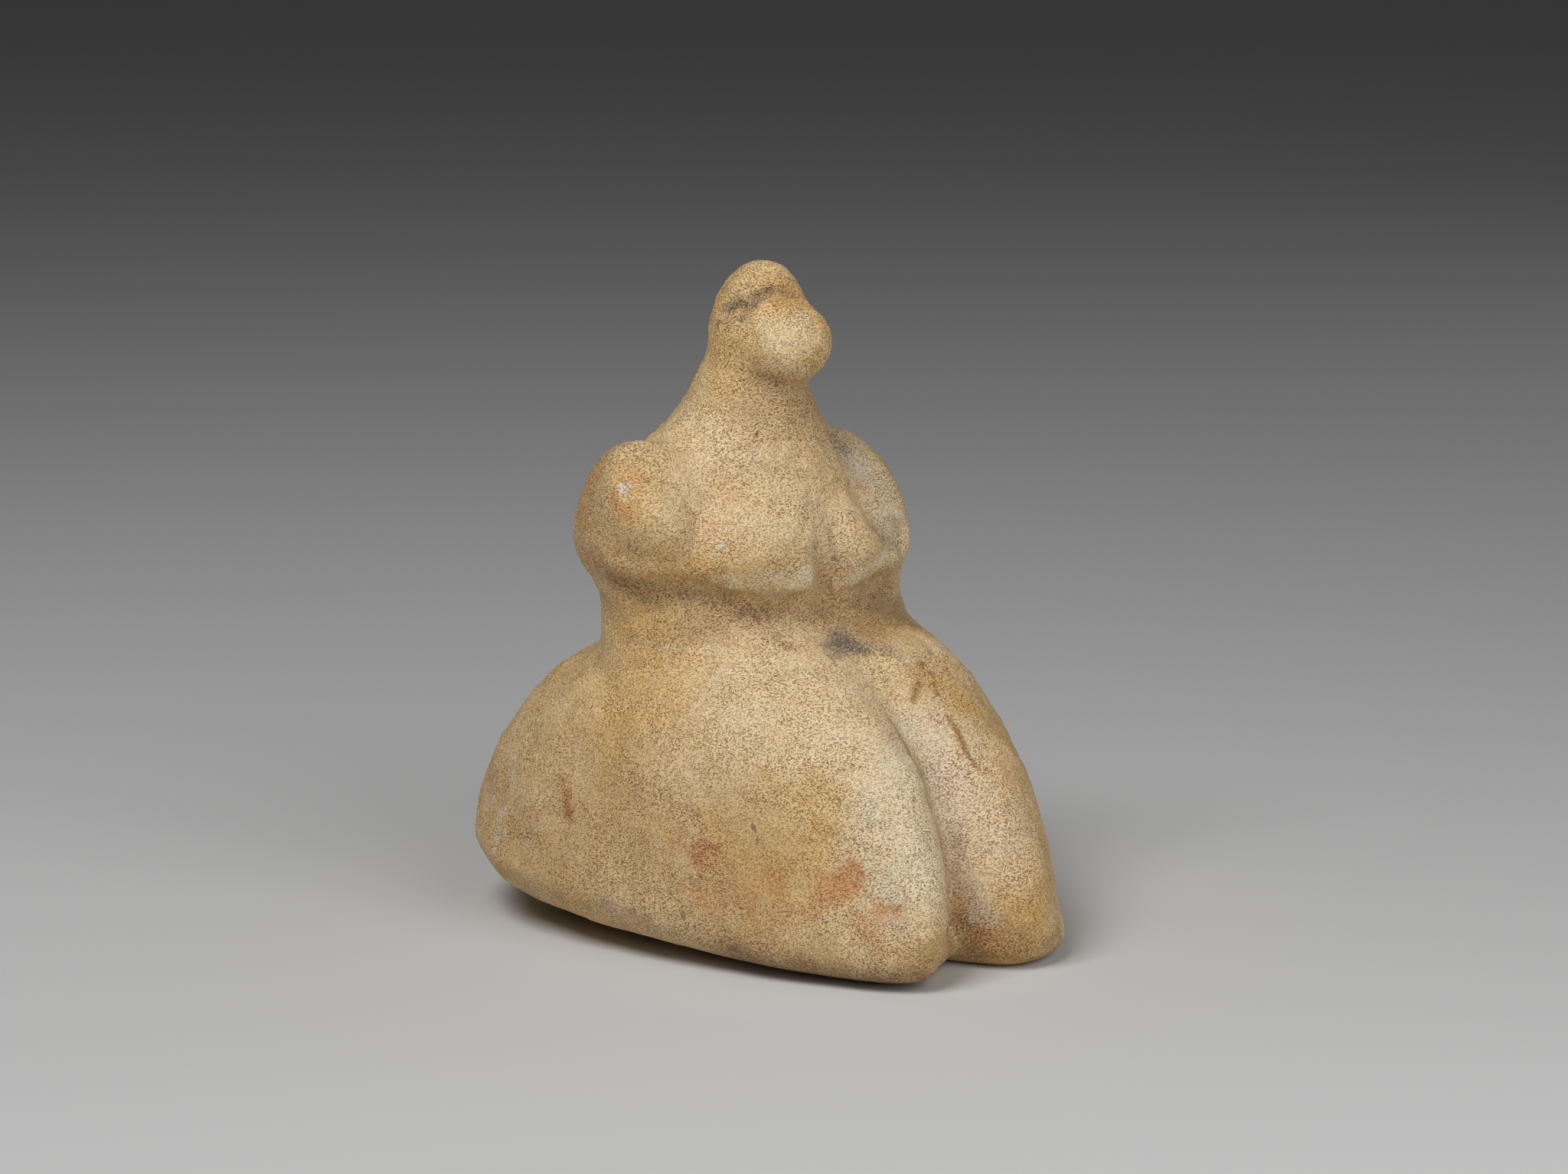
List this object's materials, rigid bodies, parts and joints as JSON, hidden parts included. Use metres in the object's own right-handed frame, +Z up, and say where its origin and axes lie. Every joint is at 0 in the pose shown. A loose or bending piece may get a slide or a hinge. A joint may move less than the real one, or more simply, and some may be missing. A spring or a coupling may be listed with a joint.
{
  "type": "seated stone figurine",
  "caption": "Seated female marble figurine with full thighs and hips, short arm stumps, a long neck and a featureless head, flat underneath.",
  "frame": {"origin": "on the flat underside, below the neck", "axes": "the figure faces -Y, its left side is +X, and +Z runs up from the underside to the crown of the head"},
  "size_m": [0.103, 0.1238, 0.13],
  "materials": {
    "marble": "worn and hand-polished, honey-cream with a brown grain"
  },
  "bodies": {
    "root": {"figurine": "marble"}
  },
  "joints": []
}
